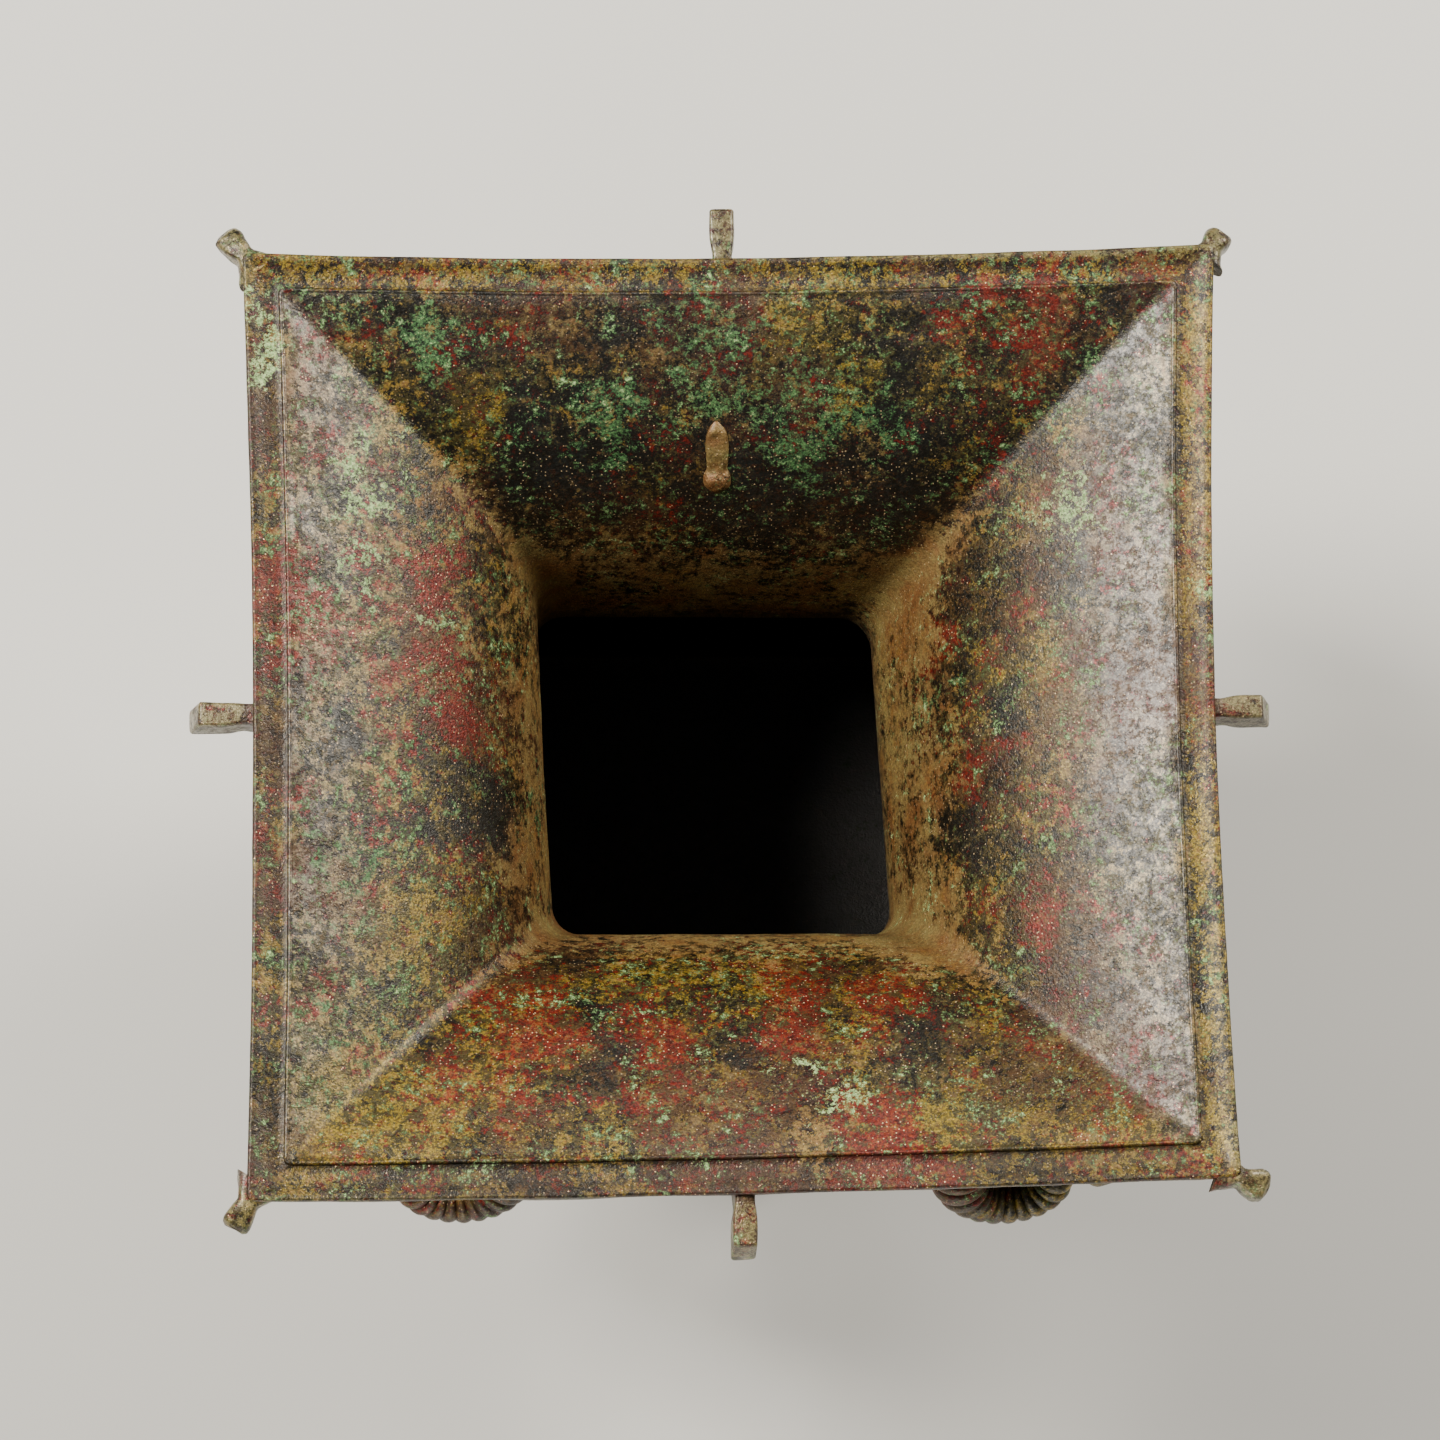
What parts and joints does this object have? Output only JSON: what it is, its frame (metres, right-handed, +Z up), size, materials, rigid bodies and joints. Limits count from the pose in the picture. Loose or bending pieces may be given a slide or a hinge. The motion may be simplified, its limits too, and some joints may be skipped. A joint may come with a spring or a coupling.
{
  "type": "square bronze zun vessel",
  "caption": "Square cast bronze wine vessel with a wide flared mouth, narrow throat, flanged faces and corners, a ram's head on each shoulder corner and a hollow foot.",
  "frame": {"origin": "middle of the foot, on the surface the vessel stands on", "axes": "+Z up through the mouth; +Y towards the back face, which is the top of the picture; +X to the right of it"},
  "size_m": [0.4238, 0.4168, 0.4309],
  "materials": {
    "bronze": "cast bronze with a mottled red, olive and green patina, semi-gloss on the mouth"
  },
  "bodies": {
    "root": {"zun_vessel": "bronze"}
  },
  "joints": []
}
